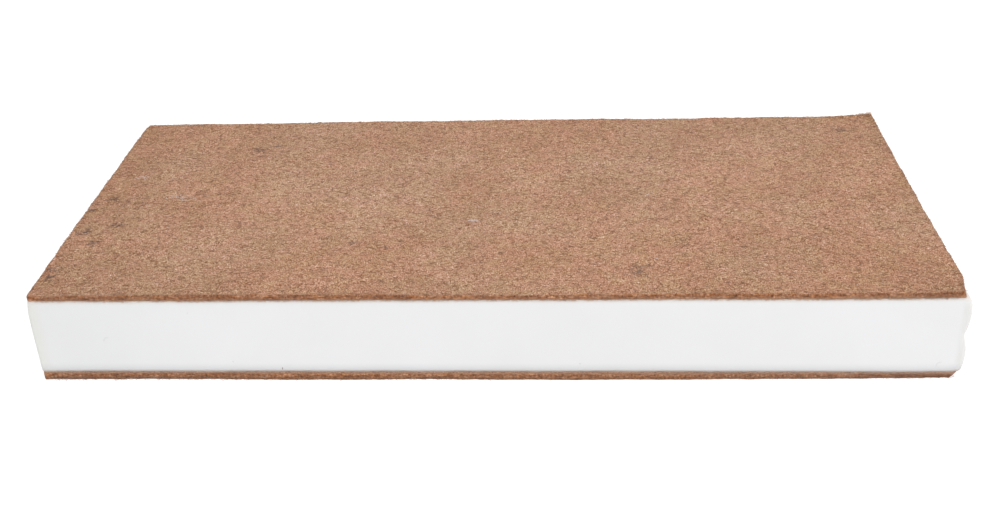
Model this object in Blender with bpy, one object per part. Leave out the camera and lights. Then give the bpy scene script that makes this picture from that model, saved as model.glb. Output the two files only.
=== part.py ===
"""Chalkboard eraser: a pad of soft white foam with a sheet of needle felt glued to each of its two faces.

Lengths are in metres and +Z is up. The origin is the middle of the lower felt's underside, the face that
rests on a ledge. +X runs along the length and +Y points to the back.
The stack, from the bottom: lower felt, glue film, foam core, glue film, upper felt.
"""

import math

import bmesh
import bpy

# Felt sheets, both die-cut to one outline.
LENGTH = 0.150
WIDTH = 0.072
FELT_THICKNESS = 0.0014
FELT_CORNER_RADIUS = 0.0015

# Foam core. Its ends are sawn by hand and swell past the felt.
FOAM_THICKNESS = 0.0126
FOAM_SIDE_INSET = 0.0002
FOAM_CORNER_RADIUS = 0.0020
RIGHT_OVERHANG = 0.0003
RIGHT_LOBE = 0.0006
LEFT_OVERHANG = 0.0001
LEFT_BULGE = 0.0003

# Glue films, which stop short of the felt's edge so that none is squeezed out.
FILM_THICKNESS = 0.0002
FILM_CLEARANCE = 0.00005
FILM_EDGE_INSET = 0.0015

# Facets
CORNER_SEGMENTS = 8
FOAM_LEVELS = 24

# Heights, worked out from the stack
GLUE_LINE = FILM_THICKNESS + 2 * FILM_CLEARANCE
LOWER_FILM_Z = FELT_THICKNESS + FILM_CLEARANCE
FOAM_Z = FELT_THICKNESS + GLUE_LINE
UPPER_FILM_Z = FOAM_Z + FOAM_THICKNESS + FILM_CLEARANCE
UPPER_FELT_Z = FOAM_Z + FOAM_THICKNESS + GLUE_LINE


def clear_scene():
    for item in list(bpy.data.objects):
        bpy.data.objects.remove(item, do_unlink=True)


def new_collection(name):
    collection = bpy.data.collections.new(name)
    bpy.context.scene.collection.children.link(collection)
    return collection


def new_material(name, colour, roughness, sheen=0.0):
    material = bpy.data.materials.new(name)
    material.use_nodes = True
    material.diffuse_color = (*colour, 1.0)
    shader = material.node_tree.nodes["Principled BSDF"]
    shader.inputs["Base Color"].default_value = (*colour, 1.0)
    shader.inputs["Roughness"].default_value = roughness
    shader.inputs["Metallic"].default_value = 0.0
    shader.inputs["Sheen Weight"].default_value = sheen
    return material


def rounded_rectangle(length, width, radius):
    """Points, counter-clockwise, of a rectangle centred on the origin with an arc at each corner."""
    corners = (
        (length / 2 - radius, width / 2 - radius, 0.0),
        (radius - length / 2, width / 2 - radius, 0.5 * math.pi),
        (radius - length / 2, radius - width / 2, math.pi),
        (length / 2 - radius, radius - width / 2, 1.5 * math.pi),
    )
    points = []
    for centre_x, centre_y, first_angle in corners:
        for step in range(CORNER_SEGMENTS + 1):
            angle = first_angle + 0.5 * math.pi * step / CORNER_SEGMENTS
            points.append((centre_x + radius * math.cos(angle), centre_y + radius * math.sin(angle)))
    return points


def make_sheet(name, outline, bottom_z, thickness, material, collection):
    """A flat sheet of the outline, from bottom_z up."""
    curve = bpy.data.curves.new(name, "CURVE")
    curve.dimensions = "2D"
    curve.fill_mode = "BOTH"
    curve.extrude = thickness / 2
    spline = curve.splines.new("POLY")
    spline.points.add(len(outline) - 1)
    for point, (x, y) in zip(spline.points, outline):
        point.co = (x, y, 0.0, 1.0)
    spline.use_cyclic_u = True
    curve.materials.append(material)
    sheet = bpy.data.objects.new(name, curve)
    sheet.location = (0.0, 0.0, bottom_z + thickness / 2)
    collection.objects.link(sheet)
    return sheet


def right_swell(share):
    """How far the right end stands past the felt: two lobes, one above the other, with a groove between."""
    return RIGHT_OVERHANG + RIGHT_LOBE * abs(math.sin(2 * math.pi * share))


def left_swell(share):
    """How far the left end stands past the felt: one gentle bulge."""
    return LEFT_OVERHANG + LEFT_BULGE * math.sin(math.pi * share)


def make_foam_core(material, collection):
    """A block with rounded upright corners, cut into levels, whose ends are then swollen outwards."""
    block = bmesh.new()
    bmesh.ops.create_cube(block, size=1.0)
    foam_width = WIDTH - 2 * FOAM_SIDE_INSET
    bmesh.ops.scale(block, vec=(LENGTH, foam_width, FOAM_THICKNESS), verts=block.verts)
    upright_edges = [edge for edge in block.edges if edge.verts[0].co.z * edge.verts[1].co.z < 0]
    bmesh.ops.bevel(
        block,
        geom=upright_edges,
        offset=FOAM_CORNER_RADIUS,
        segments=CORNER_SEGMENTS,
        profile=0.5,
        affect="EDGES",
    )
    for level in range(1, FOAM_LEVELS):
        height = FOAM_THICKNESS * (level / FOAM_LEVELS - 0.5)
        everything = block.verts[:] + block.edges[:] + block.faces[:]
        bmesh.ops.bisect_plane(block, geom=everything, plane_co=(0, 0, height), plane_no=(0, 0, 1))
    straight_half = LENGTH / 2 - FOAM_CORNER_RADIUS
    for vertex in block.verts:
        share = vertex.co.z / FOAM_THICKNESS + 0.5
        reach = max(0.0, abs(vertex.co.x) - straight_half) / FOAM_CORNER_RADIUS
        if vertex.co.x > 0:
            vertex.co.x += reach * right_swell(share)
        else:
            vertex.co.x -= reach * left_swell(share)
    mesh = bpy.data.meshes.new("foam_core")
    block.to_mesh(mesh)
    block.free()
    mesh.materials.append(material)
    mesh.shade_smooth()
    mesh.set_sharp_from_angle(angle=math.radians(30))
    foam = bpy.data.objects.new("foam_core", mesh)
    foam.location = (0.0, 0.0, FOAM_Z + FOAM_THICKNESS / 2)
    collection.objects.link(foam)
    return foam


def main():
    clear_scene()
    eraser = new_collection("chalkboard_eraser")
    felt = new_material("felt", colour=(0.42, 0.22, 0.13), roughness=0.95, sheen=0.3)
    foam = new_material("foam", colour=(0.86, 0.86, 0.85), roughness=0.6)
    glue = new_material("glue", colour=(0.70, 0.62, 0.48), roughness=0.35)

    felt_outline = rounded_rectangle(LENGTH, WIDTH, FELT_CORNER_RADIUS)
    film_outline = rounded_rectangle(
        LENGTH - 2 * FILM_EDGE_INSET, WIDTH - 2 * FILM_EDGE_INSET, FELT_CORNER_RADIUS
    )
    make_sheet("lower_felt", felt_outline, 0.0, FELT_THICKNESS, felt, eraser)
    make_sheet("lower_glue_film", film_outline, LOWER_FILM_Z, FILM_THICKNESS, glue, eraser)
    make_foam_core(foam, eraser)
    make_sheet("upper_glue_film", film_outline, UPPER_FILM_Z, FILM_THICKNESS, glue, eraser)
    make_sheet("upper_felt", felt_outline, UPPER_FELT_Z, FELT_THICKNESS, felt, eraser)


main()
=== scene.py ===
"""Looks of the chalkboard eraser: two sheets of needle felt glued to a pad of soft white foam.

Lengths are in metres and +Z is up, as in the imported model. The felt sheets and the foam are modelled here
as their own meshes and stand for their plain solids. Loose fibres lie on the felt as real strands.
"""

import math

import bpy
import numpy as np
from mathutils import Matrix, Vector


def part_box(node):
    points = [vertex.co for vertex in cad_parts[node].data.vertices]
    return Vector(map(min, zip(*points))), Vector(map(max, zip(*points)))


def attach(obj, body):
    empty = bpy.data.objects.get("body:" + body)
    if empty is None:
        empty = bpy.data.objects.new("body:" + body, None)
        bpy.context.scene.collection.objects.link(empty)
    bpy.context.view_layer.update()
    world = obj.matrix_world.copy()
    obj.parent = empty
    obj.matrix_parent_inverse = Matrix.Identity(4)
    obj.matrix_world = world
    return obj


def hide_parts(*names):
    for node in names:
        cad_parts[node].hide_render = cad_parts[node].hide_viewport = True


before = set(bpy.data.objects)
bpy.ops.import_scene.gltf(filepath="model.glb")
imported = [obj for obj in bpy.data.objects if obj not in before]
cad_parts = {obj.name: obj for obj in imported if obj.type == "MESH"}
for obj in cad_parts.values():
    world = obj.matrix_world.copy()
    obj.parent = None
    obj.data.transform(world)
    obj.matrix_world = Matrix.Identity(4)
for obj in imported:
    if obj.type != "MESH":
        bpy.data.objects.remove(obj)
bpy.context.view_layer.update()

MM = 0.001

# Camera
CAMERA_TARGET = Vector((-0.15, 0.0, 3.56)) * MM
CAMERA_DISTANCE = 240.80 * MM
CAMERA_ELEVATION = math.radians(28.51)
CAMERA_AZIMUTH = math.radians(2.89)
CAMERA_ROLL = math.radians(-1.73)
CAMERA_LENS = 46.20
CAMERA_SENSOR = 36.0

# Seams, where felt and foam meet at the rim: height at the left end, height towards the right end, the lift
# at the right end itself, the x where that lift begins, and the seed of the waves along the seam
UPPER_SEAM = (15.24 * MM, 14.98 * MM, 0.12 * MM, 50.0 * MM, 41)
LOWER_SEAM = (1.64 * MM, 1.10 * MM, 0.35 * MM, 72.6 * MM, 42)
SEAM_WAVE = 0.04 * MM
SEAM_GAP = 0.02 * MM

# Width of the rim in which a glued face bends to meet its seam
RIM_BAND = 1.2 * MM

# Felt
FELT_STEP = 0.6 * MM
FELT_RIM_STEP = 0.3 * MM
FELT_NAP = 0.10 * MM
WALL_LEVELS = 6

# Foam
FOAM_STEP = 1.5 * MM
FOAM_RIM_STEP = 0.35 * MM
FOAM_LEVELS = 28

# Loose fibres: the steps along each and the sides round it, how many there are in a piece, then the lowest
# and highest length and radius of those on the two faces
STRAND_STEPS = 4
STRAND_STOPS = STRAND_STEPS + 1
STRAND_SIDES = 3
FACE_FIBRES = 7000
EDGE_FIBRES = 3600
UPPER_RIM_FIBRES = 2600
LOWER_RIM_FIBRES = 1600
UPPER_SEAM_FIBRES = 2600
LOWER_SEAM_FIBRES = 2000
CORNER_FIBRES = 90
TOP_LENGTHS = (0.7 * MM, 2.6 * MM)
TOP_RADII = (0.022 * MM, 0.042 * MM)
UNDER_LENGTHS = (0.8 * MM, 3.2 * MM)
UNDER_RADII = (0.02 * MM, 0.035 * MM)

# Light
KEY_PLACE = (0.25, -0.45, 0.75)
KEY_SIZE = 0.6
KEY_POWER = 5.0
SKY_STRENGTH = 0.85
FLOOR_SIZE = 6.0
FLOOR_GLOW = 0.75


def srgb(red, green, blue):
    """A display colour, 0 to 255, as the linear colour that shaders use."""
    linear = []
    for value in (red, green, blue):
        share = value / 255
        linear.append(share / 12.92 if share <= 0.04045 else ((share + 0.055) / 1.055) ** 2.4)
    return (*linear, 1.0)


# ---------------------------------------------------------------- smooth noise


def smooth_noise(seed, x, y, cell):
    """Noise from -1 to 1 whose bumps are about one cell wide."""
    rows = 512
    values = np.random.default_rng(seed).uniform(-1.0, 1.0, (rows, rows))
    u = x / cell + rows / 2
    v = y / cell + rows / 2
    left = np.floor(u).astype(int)
    low = np.floor(v).astype(int)
    across = u - left
    along = v - low
    across = across * across * (3 - 2 * across)
    along = along * along * (3 - 2 * along)
    left, right = left % rows, (left + 1) % rows
    low, high = low % rows, (low + 1) % rows
    near = values[left, low] * (1 - across) + values[right, low] * across
    far = values[left, high] * (1 - across) + values[right, high] * across
    return near * (1 - along) + far * along


def nap(seed, x, y):
    """Height of the felt's surface about its middle: broad waves, lumps and the tops of fibre bundles."""
    return FELT_NAP * (
        0.45 * smooth_noise(seed, x, y, 17 * MM)
        + 0.40 * smooth_noise(seed + 1, x, y, 3.1 * MM)
        + 0.35 * smooth_noise(seed + 2, x, y, 1.1 * MM)
    )


def seam_height(seam, x):
    """Height of a seam at x, between its left and right ends."""
    left, right, lift, lift_from, seed = seam
    half = cad_half("upper_felt")[0]
    share = np.clip(0.5 + x / (2 * half), 0.0, 1.0)
    wave = SEAM_WAVE * smooth_noise(seed, x, 0 * x, 6 * MM)
    near_end = np.clip((x - lift_from) / (half - lift_from), 0.0, 1.0)
    return left * (1 - share) + right * share + lift * near_end**2 + wave


def cad_half(node):
    """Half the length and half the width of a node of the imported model."""
    low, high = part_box(node)
    return (high.x - low.x) / 2, (high.y - low.y) / 2


# ---------------------------------------------------------------- meshes


def new_mesh(name, points, faces, attributes=None):
    """An object of quads and triangles. faces is a list of index arrays, one row per face."""
    mesh = bpy.data.meshes.new(name)
    mesh.vertices.add(len(points))
    mesh.vertices.foreach_set("co", np.ascontiguousarray(points, np.float32).ravel())
    loops = np.concatenate([part.ravel() for part in faces])
    sizes = np.concatenate([np.full(len(part), part.shape[1]) for part in faces])
    starts = np.concatenate([[0], np.cumsum(sizes)[:-1]])
    mesh.loops.add(len(loops))
    mesh.loops.foreach_set("vertex_index", loops.astype(np.int32))
    mesh.polygons.add(len(sizes))
    mesh.polygons.foreach_set("loop_start", starts.astype(np.int32))
    mesh.update(calc_edges=True)
    mesh.validate()
    mesh.shade_smooth()
    for label, values in (attributes or {}).items():
        layer = mesh.attributes.new(label, "FLOAT", "POINT")
        layer.data.foreach_set("value", np.ascontiguousarray(values, np.float32))
    piece = bpy.data.objects.new(name, mesh)
    bpy.context.scene.collection.objects.link(piece)
    return piece


def stations(half, step, rim_step, rim):
    """Grid lines from -half to half, closer together near both ends."""
    rim_lines = np.linspace(0.0, rim, max(2, round(rim / rim_step)) + 1)
    inner = half - rim
    inner_lines = np.linspace(-inner, inner, round(2 * inner / step) + 1)
    return np.concatenate([rim_lines[:-1] - half, inner_lines, half - rim_lines[:-1][::-1]])


def rounded_grid(half_x, half_y, corners, step, rim_step, rim):
    """Plan positions of a grid whose four corners are rounded, as x and y arrays, indexed X first.

    corners are pairs of radii, along X and along Y: left front, right front, left back, right back.
    """
    x, y = np.meshgrid(
        stations(half_x, step, rim_step, rim), stations(half_y, step, rim_step, rim), indexing="ij"
    )
    for (radius_x, radius_y), (side_x, side_y) in zip(corners, ((-1, -1), (1, -1), (-1, 1), (1, 1))):
        u = (x * side_x - (half_x - radius_x)) / radius_x
        v = (y * side_y - (half_y - radius_y)) / radius_y
        inside = (u > 0) & (v > 0)
        shrink = np.where(inside, np.maximum(u, v) / np.maximum(np.hypot(u, v), 1e-9), 1.0)
        x = np.where(inside, side_x * (half_x - radius_x + u * shrink * radius_x), x)
        y = np.where(inside, side_y * (half_y - radius_y + v * shrink * radius_y), y)
    return x, y


def border_of(columns, rows):
    """Grid indices once round the border, counter-clockwise from the left front corner."""
    front = [(i, 0) for i in range(columns - 1)]
    right = [(columns - 1, j) for j in range(rows - 1)]
    back = [(i, rows - 1) for i in range(columns - 1, 0, -1)]
    left = [(0, j) for j in range(rows - 1, 0, -1)]
    return np.array(front + right + back + left)


def outward(x, y):
    """Unit vectors that point out of a closed counter-clockwise loop, level with the ground."""
    along_x = np.roll(x, -1) - np.roll(x, 1)
    along_y = np.roll(y, -1) - np.roll(y, 1)
    size = np.maximum(np.hypot(along_x, along_y), 1e-12)
    return along_y / size, -along_x / size


def slab(name, plan, levels, lower, upper, swell, bulge):
    """A closed slab on a plan of grid positions, with its wall cut into levels.

    lower and upper give a height for each x, y and distance in from the border. swell gives how far the wall
    stands out, and bulge how far the slab moves along X, for each x, y and share of the height.
    """
    x, y = plan
    columns, rows = x.shape
    border = border_of(columns, rows)
    border_x, border_y = x[border[:, 0], border[:, 1]], y[border[:, 0], border[:, 1]]
    out_x, out_y = outward(border_x, border_y)
    half_x, half_y = np.abs(x).max(), np.abs(y).max()
    inset = np.minimum(half_x - np.abs(x), half_y - np.abs(y))
    faces = []
    points = []
    walls = []
    shares = []
    cell = np.arange(columns * rows).reshape(columns, rows)
    quads = np.stack([cell[:-1, :-1], cell[1:, :-1], cell[1:, 1:], cell[:-1, 1:]], -1).reshape(-1, 4)
    for height, share, order in ((lower, 0.0, slice(None, None, -1)), (upper, 1.0, slice(None))):
        z = height(x, y, inset)
        moved_x, moved_y = x.copy(), y.copy()
        push = swell(border_x, border_y, share)
        moved_x[border[:, 0], border[:, 1]] += out_x * push
        moved_y[border[:, 0], border[:, 1]] += out_y * push
        faces.append(quads[:, order] + len(walls) * columns * rows)
        points.append(np.stack([moved_x + bulge(moved_x, moved_y, share), moved_y, z], -1).reshape(-1, 3))
        walls.append(np.zeros(columns * rows))
        shares.append(np.full(columns * rows, share))
    flat_border = cell[border[:, 0], border[:, 1]]
    low_z = points[0][flat_border, 2]
    high_z = points[1][flat_border, 2]
    rings = [flat_border]
    count = 2 * columns * rows
    for level in range(1, levels):
        share = level / levels
        push = swell(border_x, border_y, share)
        z = low_z * (1 - share) + high_z * share
        ring_x = border_x + out_x * push
        ring_y = border_y + out_y * push
        points.append(np.stack([ring_x + bulge(ring_x, ring_y, share), ring_y, z], -1))
        walls.append(np.ones(len(border)))
        shares.append(np.full(len(border), share))
        rings.append(np.arange(len(border)) + count)
        count += len(border)
    rings.append(flat_border + columns * rows)
    for below, above in zip(rings[:-1], rings[1:]):
        faces.append(np.stack([below, np.roll(below, -1), np.roll(above, -1), above], -1))
    wall = np.concatenate(walls)
    wall[flat_border] = 0.5
    wall[flat_border + columns * rows] = 0.5
    return new_mesh(name, np.concatenate(points), faces, {"wall": wall, "share": np.concatenate(shares)})


# ---------------------------------------------------------------- felt sheets and foam

# Corner radii in mm, along X and along Y: left front, right front, left back, right back
UPPER_CORNERS = ((0.4, 0.4), (0.5, 1.0), (1.6, 1.9), (0.5, 0.5))
LOWER_CORNERS = ((0.35, 0.35), (0.4, 0.4), (1.2, 1.4), (0.9, 1.0))
FOAM_CORNERS = ((0.8, 0.8), (0.6, 0.6), (1.6, 1.6), (1.4, 1.4))

# How far a front wall's underside stands out: x and distance in mm
STRAIGHT_FOOT = ((0.0, 0.0),)
LOWER_FOOT = (
    (-75.0, -0.25),
    (-50.0, -0.12),
    (-27.0, 0.15),
    (-10.0, 0.0),
    (8.0, 0.24),
    (30.0, 0.30),
    (60.0, 0.1),
    (75.0, -0.2),
)

# The foam's ends: how far they stand past the felt, and where the groove between the two lobes is
GROOVE_SHARE = 0.50
GROOVE_OUT = 0.25 * MM
UPPER_LOBE = 0.62 * MM
LOWER_LOBE = 0.66 * MM
LEFT_FOOT = 0.36 * MM
LEFT_BULGE = 0.19 * MM
LEFT_ROUNDING = 0.37 * MM
RIGHT_ROUNDING = 0.60 * MM
BULGE_LENGTH = 3.0 * MM


def millimetres(pairs):
    return [(first * MM, second * MM) for first, second in pairs]


def rim_share(inset, band=RIM_BAND):
    """1 at the border, falling smoothly to 0 one band in."""
    share = np.clip(1 - inset / band, 0.0, 1.0)
    return share * share * (3 - 2 * share)


def ragged_wall(seed, foot):
    """The swell of a felt's cut wall: rounded arrises and a fuzzy, uneven cut, smoother at the two ends.

    foot is how far the front wall's underside stands out, as pairs of x and distance in mm.
    """
    foot_x, foot_out = np.array(foot).T * MM

    def swell(x, y, share):
        at_end = np.clip((np.abs(x) - 74 * MM) / (1 * MM), 0.0, 1.0)
        rounding = 0.07 * MM * np.abs(2 * share - 1) ** 3
        rough = smooth_noise(seed, x + 2 * y + 9 * MM * share, y, 0.8 * MM) * (1 - 0.6 * at_end)
        drift = smooth_noise(seed + 30, x + 2 * y, y, 5 * MM) * (1 - 0.5 * at_end)
        stand = np.where(y < 0, np.interp(x, foot_x, foot_out), 0.0) * (1 - share) * (1 - at_end)
        return 0.02 * MM - rounding + 0.06 * MM * rough + 0.06 * MM * drift + stand

    return swell


def drawn_in(foot, top):
    """Moves a felt's right front corner in along X, by foot at its underside and by top at its upper face."""

    def bulge(x, y, share):
        near_x = np.clip((x - 71.5 * MM) / (3.5 * MM), 0.0, 1.0)
        near_y = np.clip((-y - 31.5 * MM) / (4 * MM), 0.0, 1.0)
        return -near_x * near_y * (foot * (1 - share) + top * share)

    return bulge


def upper_lip(x, y):
    """How far the upper felt's cut rim stands up: most along the left half of the front and at the two right
    corners, and least at the left back corner."""
    left = np.clip(-x / (60 * MM), 0.0, 1.0)
    front = np.clip(-y / (36 * MM), 0.0, 1.0) ** 4
    back = np.clip(y / (36 * MM), 0.0, 1.0) ** 2
    ridge = np.exp(-(((x + 43 * MM) / (17 * MM)) ** 2))
    corner = np.exp(-(((75 * MM - x) / (5 * MM)) ** 2))
    at_front = front * (0.28 * ridge + 0.30 * corner)
    at_back = back * (0.5 * corner - 0.35 * left)
    return MM * (0.03 + 0.08 * left + at_front + at_back)


def upper_top(x, y, inset):
    wave = 0.08 * MM * smooth_noise(14, x + 2 * y, y, 2.5 * MM)
    wave += 0.10 * MM * smooth_noise(15, x + 2 * y, y, 9 * MM)
    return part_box("upper_felt")[1].z + nap(11, x, y) + (upper_lip(x, y) - wave) * rim_share(inset, 0.9 * MM)


def to_seam(middle, seam, gap, x, inset):
    """Height of a glued face: level in the middle, and one gap off the seam at the rim."""
    share = rim_share(inset)
    return middle * (1 - share) + (seam_height(seam, x) + gap) * share


def upper_glued(x, _y, inset):
    return to_seam(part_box("upper_felt")[0].z, UPPER_SEAM, SEAM_GAP, x, inset)


def lower_rest(x, y, inset):
    return np.maximum(0.05 * MM + 0.5 * nap(21, x, y) - 0.03 * MM * rim_share(inset, 0.6 * MM), 0.01 * MM)


def lower_glued(x, _y, inset):
    return to_seam(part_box("lower_felt")[1].z, LOWER_SEAM, -SEAM_GAP, x, inset)


def make_felt(name, corners, lower, upper, wall, bulge):
    half_x, half_y = cad_half("upper_felt")
    plan = rounded_grid(half_x, half_y, millimetres(corners), FELT_STEP, FELT_RIM_STEP, 2 * RIM_BAND)
    return slab(name, plan, WALL_LEVELS, lower, upper, wall, bulge)


def foam_top(x, _y, inset):
    return to_seam(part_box("foam_core")[1].z, UPPER_SEAM, -SEAM_GAP, x, inset)


def foam_bottom(x, _y, inset):
    return to_seam(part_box("foam_core")[0].z, LOWER_SEAM, SEAM_GAP, x, inset)


def lobe(share, steepness):
    """The outline of a lobe: 0 at share 0, by the groove, 1 in the middle and 0 at share 1."""
    return math.sin(math.pi * share) ** (steepness if share < 0.5 else 0.35)


def foam_swell(x, y, share):
    """Nearly flat walls, drawn in a little at both seams."""
    wave = 0.02 * MM * smooth_noise(61, x + 2 * y + 20 * MM * share, y, 9 * MM)
    return wave - 0.06 * MM * abs(2 * share - 1) ** 8


def right_end(share):
    """How far the right end stands out: two lobes with a groove between, rounded off at the top."""
    if share > GROOVE_SHARE:
        lobes = UPPER_LOBE * lobe((share - GROOVE_SHARE) / (1 - GROOVE_SHARE) * 0.999, 0.8)
        lobes -= RIGHT_ROUNDING * max((share - 0.90) / 0.10, 0.0) ** 2
    else:
        lobes = LOWER_LOBE * lobe((GROOVE_SHARE - share) / GROOVE_SHARE * 0.96, 1.6)
    return GROOVE_OUT + lobes


def left_end(share):
    """How far the left end stands out: one bulge, fuller above and rounded off at the top."""
    climb = min(max((share - 0.15) / 0.4, 0.0), 1.0)
    rounding = LEFT_ROUNDING * max((share - 0.80) / 0.20, 0.0) ** 1.5
    return LEFT_FOOT + LEFT_BULGE * climb - rounding


def foam_bulge(x, _y, share):
    """The swelling of the foam's two ends, easing in over the last of the length."""
    half = cad_half("upper_felt")[0]
    at_end = np.clip((np.abs(x) - half + BULGE_LENGTH) / BULGE_LENGTH, 0.0, 1.0) ** 2
    return at_end * np.where(x > 0, right_end(share), -left_end(share))


def make_foam(name):
    half_x, half_y = cad_half("upper_felt")
    plan = rounded_grid(half_x, half_y, millimetres(FOAM_CORNERS), FOAM_STEP, FOAM_RIM_STEP, 2 * RIM_BAND)
    return slab(name, plan, FOAM_LEVELS, foam_bottom, foam_top, foam_swell, foam_bulge)


# ---------------------------------------------------------------- loose fibres

# How much the headings of the strands on a face crowd towards X, and how far in from the rim they stay
CROWDING = 0.28
FACE_MARGIN = 0.25 * MM

# How far strands on the two end walls stand out, as a share of those on the long walls
END_FUZZ = 0.3

# How far the strands round the rubbed-away right front corner are drawn in
WORN_DEPTH = 0.8 * MM

# How far inside the felt the strands over a seam begin
SEAM_ROOT = 0.16 * MM


def strands(name, seed, count, place, length, radius):
    """Bent and kinked strands. length and radius are pairs of lowest and highest, and each strand keeps 0.6
    to 1 of its length. place(rng, count) gives start points, headings and a function that lays the lines."""
    rng = np.random.default_rng(seed)
    starts, heading, lie = place(rng, count)
    size = rng.uniform(length[0], length[1], count) * rng.uniform(0.6, 1.0, count)
    thick = rng.uniform(radius[0], radius[1], count)
    bend = rng.normal(0.0, 0.9, count)
    kink = rng.normal(0.0, 0.35, (count, STRAND_STEPS))
    angle = heading[:, None] + bend[:, None] * np.linspace(-0.5, 0.5, STRAND_STEPS) + kink
    hop = size[:, None] / STRAND_STEPS
    x = np.concatenate([np.zeros((count, 1)), np.cumsum(np.cos(angle) * hop, 1)], 1)
    y = np.concatenate([np.zeros((count, 1)), np.cumsum(np.sin(angle) * hop, 1)], 1)
    share = np.linspace(0.0, 1.0, STRAND_STOPS)[None, :].repeat(count, 0)
    line = lie(rng, starts, x, y, share, thick)
    return tubes(name, line, thick, rng.uniform(0.0, 0.8, count))


def strand_map(count, stops):
    """Map positions for the corners of the tubes' walls and ends. Each tube has a square of its own."""
    cells = math.ceil(math.sqrt(count))
    column = np.arange(count) % cells
    row = np.arange(count) // cells
    step_u, step_v = np.meshgrid(np.arange(stops - 1), np.arange(STRAND_SIDES), indexing="ij")
    u = (step_u[None, :, :, None] + np.array([0, 0, 1, 1])) / (stops - 1) * 0.8 + 0.1
    v = (step_v[None, :, :, None] + np.array([0, 1, 1, 0])) / STRAND_SIDES * 0.8 + 0.1
    u = (u + column[:, None, None, None]) / cells
    v = (v + row[:, None, None, None]) / cells
    walls = np.stack([u, v], -1).reshape(-1, 2)
    end_u = np.array([0.1, 0.9, 0.5])[None, :] + column[:, None]
    end_v = np.array([0.1, 0.1, 0.9])[None, :] + row[:, None]
    ends = (np.stack([end_u, end_v], -1) / cells).reshape(-1, 2)
    return np.concatenate([walls, ends, ends])


def tubes(name, line, thick, tone, edge=0.0):
    """Closed tubes along lines of points, each with one tone. edge says how far they take the cut wall's
    colour."""
    count, stops, _ = line.shape
    ahead = np.gradient(line, axis=1)
    ahead /= np.maximum(np.linalg.norm(ahead, axis=2, keepdims=True), 1e-12)
    side = np.cross(ahead, np.array([0.11, 0.07, 0.99]))
    side /= np.maximum(np.linalg.norm(side, axis=2, keepdims=True), 1e-12)
    up = np.cross(side, ahead)
    taper = 1 - 0.55 * np.abs(np.linspace(-1, 1, stops)) ** 3
    wide = (thick[:, None] * taper)[:, :, None]
    turn = 2 * math.pi * np.arange(STRAND_SIDES) / STRAND_SIDES + 0.5 * math.pi
    rings = [line + wide * (math.cos(a) * side + math.sin(a) * up) for a in turn]
    points = np.stack(rings, 2)
    points[..., 2] = np.maximum(points[..., 2], 0.002 * MM)
    index = np.arange(count * stops * STRAND_SIDES).reshape(count, stops, STRAND_SIDES)
    near, far = index[:, :-1], index[:, 1:]
    walls = np.stack([near, np.roll(near, -1, 2), np.roll(far, -1, 2), far], -1).reshape(-1, 4)
    ends = np.concatenate([index[:, 0][:, ::-1], index[:, -1]])
    each = stops * STRAND_SIDES
    labels = {"tone": np.repeat(tone, each), "edge": np.full(count * each, edge)}
    piece = new_mesh(name, points.reshape(-1, 3), [walls, ends], labels)
    layer = piece.data.uv_layers.new(name="OFBake")
    layer.uv.foreach_set("vector", strand_map(count, stops).astype(np.float32).ravel())
    return piece


def on_face(height, sign, lift):
    """Strands that lie on a felt's face. sign is 1 on the top and -1 on the underside, and lift is the least
    and the most that a strand's middle stands off."""

    def place(rng, count):
        half_x, half_y = cad_half("upper_felt")
        starts = np.stack([rng.uniform(-half_x, half_x, count), rng.uniform(-half_y, half_y, count)], -1)
        heading = rng.uniform(-math.pi, math.pi, count)
        heading = heading - CROWDING * np.sin(2 * heading)

        def lie(rng, starts, x, y, share, thick):
            x = np.clip(starts[:, :1] + x, -half_x + FACE_MARGIN, half_x - FACE_MARGIN)
            y = np.clip(starts[:, 1:] + y, -half_y + FACE_MARGIN, half_y - FACE_MARGIN)
            inset = np.minimum(half_x - np.abs(x), half_y - np.abs(y))
            arch = np.sin(math.pi * share)
            loft = rng.uniform(*lift, len(x))[:, None]
            z = height(x, y, inset) + sign * (arch * (loft + thick[:, None]) - 0.4 * thick[:, None])
            return np.stack([x, y, z], -1)

        return starts, heading, lie

    return place


def along_sides(rng, count, margin):
    """Random places round the four sides: the distance along a side, whether it is a long one, which of the
    two it is, and how far along it strands may go."""
    half_x, half_y = cad_half("upper_felt")
    long_side = rng.random(count) < half_x / (half_x + half_y)
    reach = np.where(long_side, half_x, half_y) - margin
    return rng.uniform(-1.0, 1.0, count) * reach, long_side, rng.choice((-1.0, 1.0), count), reach


def off_side(along, out, long_side, side):
    """Plan positions from distances along a side and out from the felt's outline, rubbed away at the right
    front.
    """
    half_x, half_y = cad_half("upper_felt")
    x = np.where(long_side[:, None], along, side[:, None] * (half_x + out))
    y = np.where(long_side[:, None], side[:, None] * (half_y + out), along)
    worn_y = np.clip((-y - 31 * MM) / (4 * MM), 0.0, 1.0)
    worn_x = np.clip((x - 73 * MM) / (2 * MM), 0.0, 1.0)
    x = np.where(long_side[:, None], x, x - np.where(x > 0, WORN_DEPTH, 0.0) * worn_y)
    y = np.where(long_side[:, None] & (y < 0), y + WORN_DEPTH * worn_x**2, y)
    return x, y


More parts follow.
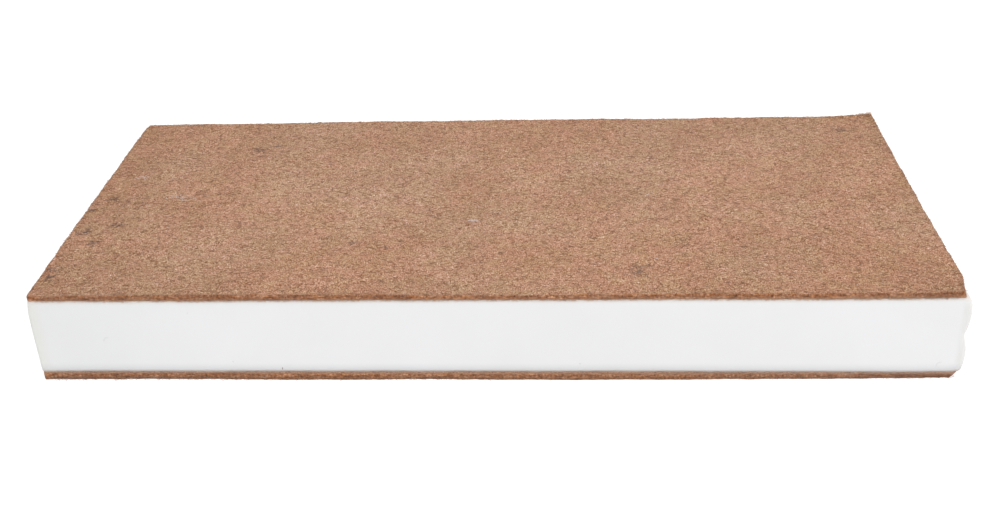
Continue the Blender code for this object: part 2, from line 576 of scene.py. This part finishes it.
def wall_strands(name, seed, count, wall, lower, upper):
    """Strands that lie along a felt's cut wall, a few of them curling away from it."""
    rng = np.random.default_rng(seed)
    start, long_side, side, reach = along_sides(rng, count, 1.7 * MM)
    length = rng.uniform(0.4, 1.8, count) * MM
    thick = rng.uniform(0.02, 0.045, count) * MM
    share = np.linspace(0.0, 1.0, STRAND_STOPS)[None, :]
    along = start[:, None] + length[:, None] * share * rng.choice((-1.0, 1.0), count)[:, None]
    along = np.clip(along, -reach[:, None], reach[:, None])
    level = rng.uniform(0.06, 0.94, count)[:, None] + rng.normal(0.0, 0.22, count)[:, None] * share
    level = np.clip(level + rng.normal(0.0, 0.03, (count, STRAND_STOPS)), 0.03, 0.97)
    x, y = off_side(along, 0.0, long_side, side)
    stand = wall(x, y, level)
    curl = np.where(rng.random(count) < 0.15, rng.uniform(0.05, 0.35, count), 0.0) * MM
    curl = np.where(long_side, curl, END_FUZZ * curl)
    out = stand + 0.5 * thick[:, None] + curl[:, None] * share**2
    x, y = off_side(along, out, long_side, side)
    z = lower(x, y, 0 * x) * (1 - level) + upper(x, y, 0 * x) * level
    return tubes(name, np.stack([x, y, z], -1), thick, rng.uniform(0.0, 0.7, count), 1.0)


def rim_strands(name, seed, count, face, sign):
    """Short strands that lie across a felt's rim and stand a little past it."""
    rng = np.random.default_rng(seed)
    start, long_side, side, _reach = along_sides(rng, count, 1.2 * MM)
    length = rng.uniform(0.35, 1.1, count) * MM
    thick = rng.uniform(0.014, 0.03, count) * MM
    turn = rng.normal(0.0, 0.9, count)
    share = np.linspace(0.0, 1.0, STRAND_STOPS)[None, :]
    bend = rng.normal(0.0, 0.8, count)[:, None] * share
    along = start[:, None] + length[:, None] * share * np.sin(turn[:, None] + bend)
    inset = rng.uniform(0.1, 0.7, count)[:, None] * MM
    out = length[:, None] * share * np.abs(np.cos(turn[:, None] + bend)) - inset
    out = np.where(long_side[:, None] | (out < 0), out, END_FUZZ * out)
    x, y = off_side(along, out, long_side, side)
    rise = rng.normal(0.0, 0.10, count)[:, None] * MM * share
    droop = -sign * 0.5 * np.maximum(out, 0.0)
    z = face(x, y, np.maximum(-out, 0.0)) + sign * 0.6 * thick[:, None] + rise + droop
    return tubes(name, np.stack([x, y, z], -1), thick, rng.uniform(0.12, 0.8, count), 0.2)


def seam_strands(name, seed, count, seam, sign):
    """Fine strands that cross from a felt's glued edge onto the foam's wall. sign is -1 down from the upper
    felt and 1 up from the lower."""
    rng = np.random.default_rng(seed)
    start, long_side, side, _reach = along_sides(rng, count, 2.0 * MM)
    thick = rng.uniform(0.014, 0.03, count) * MM
    share = np.linspace(0.0, 1.0, STRAND_STOPS)[None, :]
    drift = rng.uniform(-0.7, 0.7, count)[:, None] * MM
    along = start[:, None] + drift * share + rng.normal(0.0, 0.03 * MM, (count, STRAND_STOPS))
    drop = rng.uniform(0.05, 0.42, count)[:, None] * MM * np.sin(0.5 * math.pi * share)
    x, y = off_side(along, 0.05 * MM + 0.02 * MM * share, long_side, side)
    end_wall = np.where(long_side, 0.0, np.where(side > 0, 0.15, 0.28))[:, None] * MM
    x = x + np.sign(x) * end_wall * share
    z = seam_height(seam, x) - sign * SEAM_ROOT + sign * drop
    return tubes(name, np.stack([x, y, z], -1), thick, rng.uniform(0.55, 0.8, count), 0.12)


# The tufts of odd fibres in the upper felt: the radius of a strand in a tuft and in the wisp at the corner,
# how far a strand stands off, and how far the stain under a dark tuft spreads, as a share of the tuft's own
# spread. Then the lowest and highest tones, and the tufts. A tuft is x, y and spread in mm, how many strands,
# the longest in mm and their tones.
TUFT_RADIUS = 0.030 * MM
CORNER_RADIUS = 0.022 * MM
TUFT_LIFT = 0.04 * MM
STAIN_SPREAD = 1.2
DARK_TUFT = (0.84, 0.90)
PALE_TUFT = (0.94, 1.0)
TUFTS = (
    (-71.5, 0.0, 0.7, 26, 1.0, DARK_TUFT),
    (-67.6, -11.0, 0.7, 30, 1.0, DARK_TUFT),
    (-72.8, -13.3, 0.8, 24, 1.1, DARK_TUFT),
    (-69.7, -17.4, 0.7, 18, 1.0, DARK_TUFT),
    (-74.0, -4.8, 0.5, 12, 0.9, DARK_TUFT),
    (-73.6, -26.9, 0.9, 20, 1.1, DARK_TUFT),
    (-73.5, -29.5, 0.8, 18, 1.1, DARK_TUFT),
    (-48.6, 21.8, 0.9, 22, 1.2, DARK_TUFT),
    (-45.3, 23.7, 0.7, 14, 1.0, DARK_TUFT),
    (-24.2, -18.1, 0.5, 9, 0.9, DARK_TUFT),
    (-18.3, -20.0, 0.5, 9, 0.9, DARK_TUFT),
    (24.0, -28.4, 1.5, 24, 1.4, DARK_TUFT),
    (67.4, 28.9, 1.1, 18, 1.2, DARK_TUFT),
    (-59.6, 0.6, 1.1, 20, 2.2, PALE_TUFT),
    (-68.8, 9.1, 0.9, 10, 1.6, PALE_TUFT),
    (-4.0, -10.1, 0.5, 26, 1.2, PALE_TUFT),
    (-0.1, -6.6, 0.4, 5, 0.9, PALE_TUFT),
    (27.0, 0.2, 0.2, 3, 3.4, PALE_TUFT),
    (57.4, 30.2, 0.2, 3, 0.8, PALE_TUFT),
    (26.9, -24.4, 0.2, 3, 0.8, PALE_TUFT),
)


def tuft_strands(name, seed):
    """Curled strands in each tuft, lying on the upper felt."""
    rng = np.random.default_rng(seed)
    lines = []
    tones = []
    for centre_x, centre_y, spread, count, longest, (low_tone, high_tone) in TUFTS:
        turn = rng.uniform(-math.pi, math.pi, count)[:, None]
        turn = turn + np.cumsum(rng.normal(0, 0.5, (count, STRAND_STEPS)), 1)
        hop = rng.uniform(0.4, 1.0, count)[:, None] * longest * MM / STRAND_STEPS
        x = np.concatenate([np.zeros((count, 1)), np.cumsum(np.cos(turn) * hop, 1)], 1)
        y = np.concatenate([np.zeros((count, 1)), np.cumsum(np.sin(turn) * hop, 1)], 1)
        x = x - x.mean(1, keepdims=True) + (centre_x + rng.normal(0.0, spread, count)[:, None]) * MM
        y = y - y.mean(1, keepdims=True) + (centre_y + rng.normal(0.0, 0.7 * spread, count)[:, None]) * MM
        x = np.clip(x, -74.6 * MM, 74.6 * MM)
        arch = TUFT_LIFT * np.sin(math.pi * np.linspace(0, 1, STRAND_STOPS))
        z = upper_top(x, y, 2 * MM) + TUFT_LIFT + arch
        lines.append(np.stack([x, y, z], -1))
        tones.append(rng.uniform(low_tone, high_tone, count))
    line = np.concatenate(lines)
    return tubes(name, line, np.full(len(line), TUFT_RADIUS), np.concatenate(tones))


def corner_tuft(name, seed, count):
    """A wisp of pale strands that stands up from the upper felt's right back corner."""
    rng = np.random.default_rng(seed)
    share = np.linspace(0.0, 1.0, STRAND_STOPS)[None, :]
    start_x = rng.uniform(72.0, 74.9, count)[:, None] * MM
    start_y = rng.uniform(35.0, 35.9, count)[:, None] * MM
    height = (rng.uniform(0.2, 0.8, count) * rng.uniform(0.5, 1.0, count))[:, None] * MM
    height = height * np.clip((start_x - 71.5 * MM) / (2.5 * MM), 0.2, 1.0)
    x = start_x + rng.normal(0.0, 0.3, count)[:, None] * MM * share
    x = x + rng.normal(0.0, 0.03 * MM, (count, STRAND_STOPS))
    y = start_y + rng.uniform(0.0, 0.6, count)[:, None] * MM * share
    z = upper_top(x, y, 0 * x) + height * np.sin(0.5 * math.pi * share)
    return tubes(name, np.stack([x, y, z], -1), np.full(count, CORNER_RADIUS), rng.uniform(0.5, 0.8, count))


def stain_tufts(piece):
    """Marks the felt under each dark tuft with a point attribute, about 1 in the middle of the tuft."""
    points = np.empty(3 * len(piece.data.vertices), np.float32)
    piece.data.vertices.foreach_get("co", points)
    points = points.reshape(-1, 3) / MM
    stain = np.zeros(len(points))
    for centre_x, centre_y, spread, _count, _longest, tones in TUFTS:
        away = np.hypot(points[:, 0] - centre_x, 1.3 * (points[:, 1] - centre_y))
        stain += (tones == DARK_TUFT) * np.exp(-((away / (STAIN_SPREAD * spread)) ** 2))
    layer = piece.data.attributes.new("stain", "FLOAT", "POINT")
    layer.data.foreach_set("value", stain.astype(np.float32))


# ---------------------------------------------------------------- materials


def add(tree, kind, inputs=None, **settings):
    """A shader node. A socket among the inputs is linked, and any other value is set."""
    node = tree.nodes.new("ShaderNode" + kind)
    for name, value in settings.items():
        setattr(node, name, value)
    for socket, value in (inputs or {}).items():
        if isinstance(value, bpy.types.NodeSocket):
            tree.links.new(value, node.inputs[socket])
        else:
            node.inputs[socket].default_value = value
    return node


def maths(tree, operation, first, second=0.0, third=0.0):
    return add(tree, "Math", {0: first, 1: second, 2: third}, operation=operation).outputs[0]


def vector_maths(tree, operation, first, second=(0.0, 0.0, 0.0)):
    """The result as a vector, or as a number for a length or a dot product."""
    node = add(tree, "VectorMath", {0: first, 1: second}, operation=operation)
    return node.outputs["Value" if operation in ("LENGTH", "DOT_PRODUCT") else "Vector"]


def blend(tree, factor, first, second, mode="MIX"):
    node = add(tree, "Mix", {0: factor, 6: first, 7: second}, data_type="RGBA", blend_type=mode)
    return node.outputs[2]


def tint(tree, colour, mask, strength, target):
    """The colour moved towards a target, by a mask times a strength."""
    return blend(tree, maths(tree, "MULTIPLY", mask, strength), colour, target)


def ease(tree, value, low, high):
    """0 at low, 1 at high, smooth between and level past both, whichever of the two is the larger."""
    inputs = {"Value": value, "From Min": low, "From Max": high}
    return add(tree, "MapRange", inputs, interpolation_type="SMOOTHSTEP").outputs[0]


def noise(tree, vector, scale, detail=2.0, roughness=0.5):
    inputs = {"Vector": vector, "Scale": scale, "Detail": detail, "Roughness": roughness}
    return add(tree, "TexNoise", inputs)


def ramp(tree, factor, stops, interpolation="LINEAR"):
    """A colour ramp through (position, colour) stops."""
    node = add(tree, "ValToRGB", {"Fac": factor})
    node.color_ramp.interpolation = interpolation
    elements = node.color_ramp.elements
    while len(elements) > 1:
        elements.remove(elements[-1])
    elements[0].position, elements[0].color = stops[0]
    for position, colour in stops[1:]:
        elements.new(position).color = colour
    return node.outputs["Color"]


def new_material(name):
    material = bpy.data.materials.new(name)
    material.use_nodes = True
    tree = material.node_tree
    return material, tree, tree.nodes["Principled BSDF"]


def attribute(tree, name):
    return add(tree, "Attribute", attribute_name=name, attribute_type="GEOMETRY").outputs["Fac"]


# Felt: its blotches, the stains on it, then its cut wall, with a painted shadow at its foot
WARM = srgb(170, 127, 98)
COOL = srgb(165, 130, 103)
PINK = srgb(171, 126, 103)
OLIVE = srgb(166, 130, 98)
SLATE = srgb(116, 94, 84)
DUST = srgb(150, 124, 108)
RUST = srgb(150, 96, 60)
RUST_DARK = srgb(112, 70, 46)
EDGE_TAN = srgb(168, 118, 84)
TAN = srgb(168, 128, 101)
FOOT_PAINTED_SHADE = srgb(100, 76, 60)
GLUED_TAN = srgb(188, 152, 126)

# Loose fibres: the colour of each tone, with the dark and the pale tufts' tones last
FIBRE_TONES = (
    (0.0, srgb(121, 85, 62)),
    (0.24, srgb(148, 109, 83)),
    (0.48, srgb(169, 130, 103)),
    (0.72, srgb(188, 150, 124)),
    (0.80, srgb(211, 178, 154)),
    (0.84, srgb(90, 70, 64)),
    (0.90, srgb(132, 108, 96)),
    (0.94, srgb(208, 184, 174)),
    (1.0, srgb(234, 216, 208)),
)

# Foam: its two faint tones, painted shade over its left part and at its two rounded ends, the left end also a
# little yellow, painted shade at both seams, warmed as a painted reflection of the felt at the lower and
# partly felt dust at the upper, and the marks on its front
FOAM_COOL = srgb(214, 214, 215)
FOAM_PLAIN = srgb(212, 212, 212)
LEFT_PAINTED_SHADE = srgb(206, 207, 207)
LEFT_END_SHADE_AND_TINT = srgb(206, 205, 199)
RIGHT_END_PAINTED_SHADE = srgb(204, 203, 201)
LOW_SEAM_PAINTED_SHADE = srgb(186, 187, 189)
LOW_SEAM_WARM_SHADE = srgb(190, 164, 144)
HIGH_SEAM_SHADE_AND_DUST = srgb(196, 180, 167)
NICK_GREY = srgb(190, 190, 190)
SPECK_BROWN = srgb(96, 84, 76)

# Glue
GLUE_TAN = srgb(214, 200, 170)
GLUE_CREAM = srgb(232, 222, 200)

# Crimped fibres, and where the gain is below 1 partly dark fibres and partly painted shade in the gaps
# between
# fibres: cell size in mm, heading in degrees, half width of a line, how broken the lines are, gain
THREADS = (
    (0.50, 0, 0.055, 0.50, 1.22),
    (0.70, 40, 0.045, 0.52, 1.25),
    (0.95, -35, 0.035, 0.52, 1.28),
    (0.45, 70, 0.060, 0.50, 0.56),
    (0.65, -60, 0.048, 0.52, 0.60),
    (0.90, 15, 0.036, 0.52, 0.62),
)

# Squeeze of the fibres' noise along their second axis, which draws them out along it
LAY = 0.55

# The lower seam's fall towards the right end, for each unit of length
SEAM_FALL = 0.0036

# Marks on the foam's front, each at x and z in mm. The nicks are small crescents. The specks are one short
# hair and some dust, with half width and half height in mm and a strength.
FRONT_Y = -36.0 * MM
FOAM_NICKS = ((-63.0, 7.7), (72.0, 2.5))
NICK_STRENGTH = 0.35
FOAM_SPECKS = (
    (-34.75, 2.20, 0.08, 0.26, 0.8),
    (-42.80, 3.55, 0.13, 0.13, 0.2),
    (14.15, 3.00, 0.13, 0.13, 0.2),
    (-49.05, 12.90, 0.13, 0.13, 0.15),
)
SPECK_DEPTH = 1.5 * MM


def by_channel(tree, gain):
    """The gain of red, green and blue: a pale fibre is less yellow than a dark one."""
    parts = [maths(tree, "POWER", gain, power) for power in (0.88, 1.23, 1.66)]
    return add(tree, "CombineColor", dict(enumerate(parts))).outputs[0]


def threads(tree, place, number, cell, heading, width, cut):
    """A mask of short crimped lines: where a noise crosses its middle, broken up by another noise."""
    turn = {
        "Vector": place,
        "Location": (0.013 * number, 0.007 * number, 0.0),
        "Rotation": (0.0, 0.0, math.radians(heading)),
    }
    turned = add(tree, "Mapping", turn).outputs[0]
    scale = 1000 / cell
    squeezed = vector_maths(tree, "MULTIPLY", turned, (scale, LAY * scale, scale))
    parts = add(tree, "SeparateColor", {0: noise(tree, squeezed, 1.0, 1.0, 0.5).outputs["Color"]})
    off = maths(tree, "ABSOLUTE", maths(tree, "SUBTRACT", parts.outputs[0], 0.5))
    line = ease(tree, off, width, 0.3 * width)
    return maths(tree, "MULTIPLY", line, ease(tree, parts.outputs[1], cut - 0.03, cut + 0.05))


def shifted(tree, place, number):
    """The same coordinates moved well away, so that each layer of noise is its own."""
    return vector_maths(tree, "ADD", place, (0.31 * number, 0.17 * number, 0.0))


def mottle(tree, place):
    """The felt's colour, of broad warm and cool blotches with small olive and pinkish ones, and a fine noise
    for its relief."""
    warm = noise(tree, place, 50.0, 2.0, 0.5).outputs["Fac"]
    pink = noise(tree, shifted(tree, place, 1), 300.0, 1.0, 0.5).outputs["Fac"]
    patch = noise(tree, shifted(tree, place, 2), 420.0, 3.0, 0.65).outputs["Fac"]
    broad = blend(tree, ease(tree, warm, 0.38, 0.62), COOL, WARM)
    small = blend(tree, ease(tree, pink, 0.38, 0.62), OLIVE, PINK)
    return blend(tree, 0.5, broad, small), patch


def painted_light_falloff(tree, place):
    """A gain of about 1 in the middle of the sheet, painted light that keeps the middle paler. It falls
    towards the sides and the ends, most of all at the left, as painted shade."""
    parts = add(tree, "SeparateXYZ", {0: place}).outputs
    end = ease(tree, maths(tree, "ABSOLUTE", parts[0]), 35 * MM, 80 * MM)
    side = ease(tree, maths(tree, "ABSOLUTE", parts[1]), 10 * MM, 42 * MM)
    left = ease(tree, maths(tree, "MULTIPLY", parts[0], -1.0), 50 * MM, 78 * MM)
    gain = maths(tree, "MULTIPLY_ADD", end, -0.06, 1.03)
    gain = maths(tree, "MULTIPLY_ADD", side, -0.07, gain)
    return maths(tree, "MULTIPLY_ADD", left, -0.07, gain)


def cut_colour(tree, place):
    """The rusty, layered colour of a cut wall: darker towards both ends, dusty under the lower seam, with a
    painted shadow at the table and pale at the upper seam."""
    layers = add(tree, "Mapping", {"Vector": place, "Scale": (600.0, 600.0, 3600.0)}).outputs[0]
    layer = noise(tree, layers, 1.0, 3.0, 0.65).outputs["Fac"]
    edge = ramp(tree, layer, ((0.30, RUST_DARK), (0.47, RUST), (0.58, EDGE_TAN), (0.72, TAN)))
    speck = maths(tree, "MULTIPLY_ADD", noise(tree, place, 2600.0, 1.0).outputs["Fac"], 2.4, -0.2)
    edge = blend(tree, 1.0, edge, by_channel(tree, speck), "MULTIPLY")

    parts = add(tree, "SeparateXYZ", {0: place}).outputs
    along = parts[0]
    height = parts[2]
    left = maths(tree, "MULTIPLY", ease(tree, along, -25 * MM, -65 * MM), 0.2)
    right = maths(tree, "MULTIPLY", ease(tree, along, 52 * MM, 74 * MM), 0.50)
    edge = blend(tree, maths(tree, "ADD", left, right), edge, RUST_DARK)

    level = maths(tree, "MULTIPLY_ADD", along, SEAM_FALL, height)
    above_seam = ease(tree, height, 2 * MM, 3 * MM)
    dusty = maths(tree, "SUBTRACT", ease(tree, level, 0.90 * MM, 1.25 * MM), above_seam)
    edge = tint(tree, edge, dusty, 0.8, DUST)
    # Painted shadow along the foot of the cut wall, where it meets the table
    edge = tint(tree, edge, ease(tree, height, 1.1 * MM, 0.2 * MM), 0.5, FOOT_PAINTED_SHADE)
    upper = ease(tree, height, 10 * MM, 12 * MM)
    glued = maths(tree, "MULTIPLY", ease(tree, height, 15.65 * MM, 15.05 * MM), upper)
    return tint(tree, edge, glued, 0.4, GLUED_TAN)


def felt_material():
    material, tree, shader = new_material("needle_felt")
    place = add(tree, "TexCoord").outputs["Object"]

    colour, patch = mottle(tree, place)
    cloud = noise(tree, shifted(tree, place, 3), 70.0, 4.0, 0.5).outputs["Fac"]
    # The first gain is painted light in the middle and painted shade towards the sides and ends
    gain = maths(tree, "MULTIPLY", painted_light_falloff(tree, place), maths(tree, "MULTIPLY_ADD", cloud, 0.44, 0.78))

    height = maths(tree, "MULTIPLY", patch, 0.5)
    # Lines with a gain below 1 darken the felt: partly dark fibres, partly painted shade in the gaps between
    # fibres
    for number, (cell, heading, width, cut, light) in enumerate(THREADS):
        mask = threads(tree, place, number, cell, heading, width, cut)
        gain = maths(tree, "MULTIPLY", gain, maths(tree, "MULTIPLY_ADD", mask, light - 1, 1.0))
        height = maths(tree, "MULTIPLY_ADD", mask, 0.4 if light > 1 else -0.4, height)
    squeezed = vector_maths(tree, "MULTIPLY", place, (1.0, LAY, 1.0))
    grain = noise(tree, squeezed, 5000.0, 1.0, 0.7).outputs["Fac"]
    gain = maths(tree, "MULTIPLY", gain, maths(tree, "MULTIPLY_ADD", grain, 2.2, -0.118))
    colour = blend(tree, 1.0, colour, by_channel(tree, gain), "MULTIPLY")

    fleck = noise(tree, place, 700.0, 2.0, 0.5).outputs["Fac"]
    stain = maths(tree, "MULTIPLY_ADD", attribute(tree, "stain"), 0.33, fleck)
    colour = tint(tree, colour, ease(tree, stain, 0.66, 0.86), 0.5, SLATE)

    lump = maths(tree, "SUBTRACT", patch, 0.5)
    wall = maths(tree, "MULTIPLY_ADD", lump, 0.8, attribute(tree, "wall"))
    colour = blend(tree, ease(tree, wall, 0.4, 0.75), colour, cut_colour(tree, place))

    bump = add(tree, "Bump", {"Height": height, "Strength": 0.6, "Distance": 0.12 * MM})
    tree.links.new(colour, shader.inputs["Base Color"])
    tree.links.new(bump.outputs[0], shader.inputs["Normal"])
    shader.inputs["Roughness"].default_value = 0.95
    shader.inputs["Specular IOR Level"].default_value = 0.2
    shader.inputs["Sheen Weight"].default_value = 0.15
    shader.inputs["Sheen Roughness"].default_value = 0.5
    shader.inputs["Sheen Tint"].default_value = srgb(236, 224, 210)
    return material


def fibre_material():
    material, tree, shader = new_material("loose_fibre")
    place = add(tree, "TexCoord").outputs["Object"]
    colour = ramp(tree, attribute(tree, "tone"), FIBRE_TONES)
    colour = tint(tree, colour, attribute(tree, "edge"), 0.75, cut_colour(tree, place))
    tree.links.new(colour, shader.inputs["Base Color"])
    shader.inputs["Roughness"].default_value = 0.7
    shader.inputs["Specular IOR Level"].default_value = 0.3
    shader.inputs["Sheen Weight"].default_value = 0.2
    return material


def from_mark(tree, place, x, z):
    """Where a point lies as seen from a mark on the foam's front."""
    return vector_maths(tree, "SUBTRACT", place, (x * MM, FRONT_Y, z * MM))


def nick(tree, place, x, z):
    """A crescent mark, the upper left arc of a small ring."""
    away = from_mark(tree, place, x, z)
    off = maths(tree, "SUBTRACT", vector_maths(tree, "LENGTH", away), 0.6 * MM)
    ring = ease(tree, maths(tree, "ABSOLUTE", off), 0.22 * MM, 0.05 * MM)
    lean = vector_maths(tree, "DOT_PRODUCT", away, (-0.7, 0.0, 0.7))
    return maths(tree, "MULTIPLY", ring, ease(tree, lean, 0.1 * MM, 0.5 * MM))


def dust_speck(tree, place, x, z, half_x, half_z):
    """A soft spot on the foam's front."""
    scale = (1 / (half_x * MM), 1 / SPECK_DEPTH, 1 / (half_z * MM))
    away = vector_maths(tree, "MULTIPLY", from_mark(tree, place, x, z), scale)
    return ease(tree, vector_maths(tree, "LENGTH", away), 1.3, 0.5)


def foam_material():
    material, tree, shader = new_material("white_foam")
    place = add(tree, "TexCoord").outputs["Object"]
    cloud = noise(tree, place, 60.0, 3.0).outputs["Fac"]
    colour = blend(tree, ease(tree, cloud, 0.35, 0.7), FOAM_COOL, FOAM_PLAIN)
    along = add(tree, "SeparateXYZ", {0: place}).outputs[0]
    # Painted shade, darker towards the foam's left end
    colour = tint(tree, colour, ease(tree, along, -40.0 * MM, -74.0 * MM), 0.5, LEFT_PAINTED_SHADE)
    # Painted shade at the rounded left end, with a slight yellow tint of its own
    colour = tint(tree, colour, ease(tree, along, -72.5 * MM, -75.0 * MM), 0.6, LEFT_END_SHADE_AND_TINT)
    # Painted shade at the rounded right end
    colour = tint(tree, colour, ease(tree, along, 73.8 * MM, 75.2 * MM), 0.8, RIGHT_END_PAINTED_SHADE)
    share = attribute(tree, "share")
    # Painted shade on the foam just above the lower felt
    colour = tint(tree, colour, ease(tree, share, 0.14, 0.0), 0.65, LOW_SEAM_PAINTED_SHADE)
    # Painted shade right at the lower seam, warmed as a painted reflection of the brown felt
    colour = tint(tree, colour, ease(tree, share, 0.04, 0.0), 0.6, LOW_SEAM_WARM_SHADE)
    # Near the upper seam: partly painted shade under the felt's edge, partly felt dust on the foam
    colour = tint(tree, colour, ease(tree, share, 0.94, 1.0), 0.6, HIGH_SEAM_SHADE_AND_DUST)
    for x, z in FOAM_NICKS:
        colour = tint(tree, colour, nick(tree, place, x, z), NICK_STRENGTH, NICK_GREY)
    for x, z, half_x, half_z, strength in FOAM_SPECKS:
        speck = dust_speck(tree, place, x, z, half_x, half_z)
        colour = tint(tree, colour, speck, strength, SPECK_BROWN)

    cells = add(tree, "TexVoronoi", {"Vector": place, "Scale": 4500.0}).outputs["Distance"]
    grain = noise(tree, place, 1400.0, 3.0).outputs["Fac"]
    height = maths(tree, "MULTIPLY_ADD", cells, 0.3, grain)
    bump = add(tree, "Bump", {"Height": height, "Strength": 0.2, "Distance": 0.05 * MM})
    tree.links.new(colour, shader.inputs["Base Color"])
    tree.links.new(bump.outputs[0], shader.inputs["Normal"])
    shader.inputs["Roughness"].default_value = 0.8
    shader.inputs["Specular IOR Level"].default_value = 0.0
    shader.inputs["Subsurface Weight"].default_value = 0.4
    shader.inputs["Subsurface Radius"].default_value = (1.0, 1.0, 1.0)
    shader.inputs["Subsurface Scale"].default_value = 1.2 * MM
    return material


def glue_material():
    material, tree, shader = new_material("glue")
    place = add(tree, "TexCoord").outputs["Object"]
    web = noise(tree, place, 700.0, 4.0, 0.7).outputs["Fac"]
    colour = blend(tree, ease(tree, web, 0.4, 0.6), GLUE_TAN, GLUE_CREAM)
    bump = add(tree, "Bump", {"Height": web, "Strength": 0.5, "Distance": 0.05 * MM})
    tree.links.new(colour, shader.inputs["Base Color"])
    tree.links.new(bump.outputs[0], shader.inputs["Normal"])
    shader.inputs["Roughness"].default_value = 0.35
    return material


def floor_material():
    material, _tree, shader = new_material("floor")
    shader.inputs["Base Color"].default_value = (0.35, 0.35, 0.35, 1.0)
    shader.inputs["Emission Color"].default_value = (1.0, 1.0, 1.0, 1.0)
    shader.inputs["Emission Strength"].default_value = FLOOR_GLOW
    shader.inputs["Roughness"].default_value = 0.9
    shader.inputs["Specular IOR Level"].default_value = 0.0
    return material


# ---------------------------------------------------------------- stage


def make_camera():
    data = bpy.data.cameras.new("camera")
    data.lens = CAMERA_LENS
    data.sensor_width = CAMERA_SENSOR
    data.clip_start = 0.01
    camera = bpy.data.objects.new("camera", data)
    back = Vector(
        (
            math.sin(CAMERA_AZIMUTH) * math.cos(CAMERA_ELEVATION),
            -math.cos(CAMERA_AZIMUTH) * math.cos(CAMERA_ELEVATION),
            math.sin(CAMERA_ELEVATION),
        )
    )
    turn = back.to_track_quat("Z", "Y").to_matrix().to_4x4()
    roll = Matrix.Rotation(CAMERA_ROLL, 4, "Z")
    camera.matrix_world = Matrix.Translation(CAMERA_TARGET + back * CAMERA_DISTANCE) @ turn @ roll
    bpy.context.scene.collection.objects.link(camera)
    bpy.context.scene.camera = camera


def make_light(name, place, size, power):
    data = bpy.data.lights.new(name, "AREA")
    data.shape = "DISK"
    data.size = size
    data.energy = power
    light = bpy.data.objects.new(name, data)
    light.location = place
    light.rotation_euler = Vector(place).to_track_quat("Z", "Y").to_euler()
    bpy.context.scene.collection.objects.link(light)


def make_stage():
    world = bpy.data.worlds.new("studio")
    world.use_nodes = True
    background = world.node_tree.nodes["Background"]
    background.inputs["Color"].default_value = (1.0, 1.0, 1.0, 1.0)
    background.inputs["Strength"].default_value = SKY_STRENGTH
    bpy.context.scene.world = world
    make_light("key", KEY_PLACE, KEY_SIZE, KEY_POWER)
    bpy.ops.mesh.primitive_plane_add(size=FLOOR_SIZE)
    floor = bpy.context.object
    floor.name = "floor"
    floor.data.materials.append(floor_material())
    bpy.context.scene.view_settings.view_transform = "Standard"


# ---------------------------------------------------------------- the object

felt = felt_material()
fibre = fibre_material()

upper_wall = ragged_wall(100, STRAIGHT_FOOT)
lower_wall = ragged_wall(200, LOWER_FOOT)
upper_felt = make_felt(
    "upper_felt_sheet", UPPER_CORNERS, upper_glued, upper_top, upper_wall, drawn_in(0.35 * MM, 0.95 * MM)
)
lower_felt = make_felt(
    "lower_felt_sheet", LOWER_CORNERS, lower_rest, lower_glued, lower_wall, drawn_in(1.1 * MM, 0.0)
)
foam_pad = make_foam("foam_pad")
stain_tufts(upper_felt)
for sheet in (upper_felt, lower_felt):
    sheet.data.materials.append(felt)
foam_pad.data.materials.append(foam_material())

top_fibres = []
under_fibres = []
on_top = on_face(upper_top, 1, (0.0, 0.05 * MM))
on_underside = on_face(lower_rest, -1, (-0.02 * MM, 0.0))
for batch in range(2):
    name = f"top_fibres_{batch}"
    top_fibres.append(strands(name, 500 + batch, FACE_FIBRES, on_top, TOP_LENGTHS, TOP_RADII))
    name = f"under_fibres_{batch}"
    under_fibres.append(strands(name, 600 + batch, FACE_FIBRES, on_underside, UNDER_LENGTHS, UNDER_RADII))
top_fibres.append(wall_strands("upper_edge_fibres", 700, EDGE_FIBRES, upper_wall, upper_glued, upper_top))
top_fibres.append(rim_strands("upper_rim_fibres", 710, UPPER_RIM_FIBRES, upper_top, 1))
top_fibres.append(seam_strands("upper_seam_fibres", 740, UPPER_SEAM_FIBRES, UPPER_SEAM, -1))
top_fibres.append(tuft_strands("tuft_fibres", 760))
top_fibres.append(corner_tuft("corner_fibres", 770, CORNER_FIBRES))
under_fibres.append(wall_strands("lower_edge_fibres", 720, EDGE_FIBRES, lower_wall, lower_rest, lower_glued))
under_fibres.append(rim_strands("lower_rim_fibres", 730, LOWER_RIM_FIBRES, lower_rest, -1))
under_fibres.append(seam_strands("lower_seam_fibres", 750, LOWER_SEAM_FIBRES, LOWER_SEAM, 1))
for strand_piece in top_fibres + under_fibres:
    strand_piece.data.materials.append(fibre)

glue = glue_material()
for node in ("upper_glue_film", "lower_glue_film"):
    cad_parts[node].data.materials.clear()
    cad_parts[node].data.materials.append(glue)

pieces = [upper_felt, lower_felt, foam_pad] + top_fibres + under_fibres
for piece in pieces:
    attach(piece, "root")
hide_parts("upper_felt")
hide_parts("lower_felt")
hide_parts("foam_core")

make_camera()
make_stage()
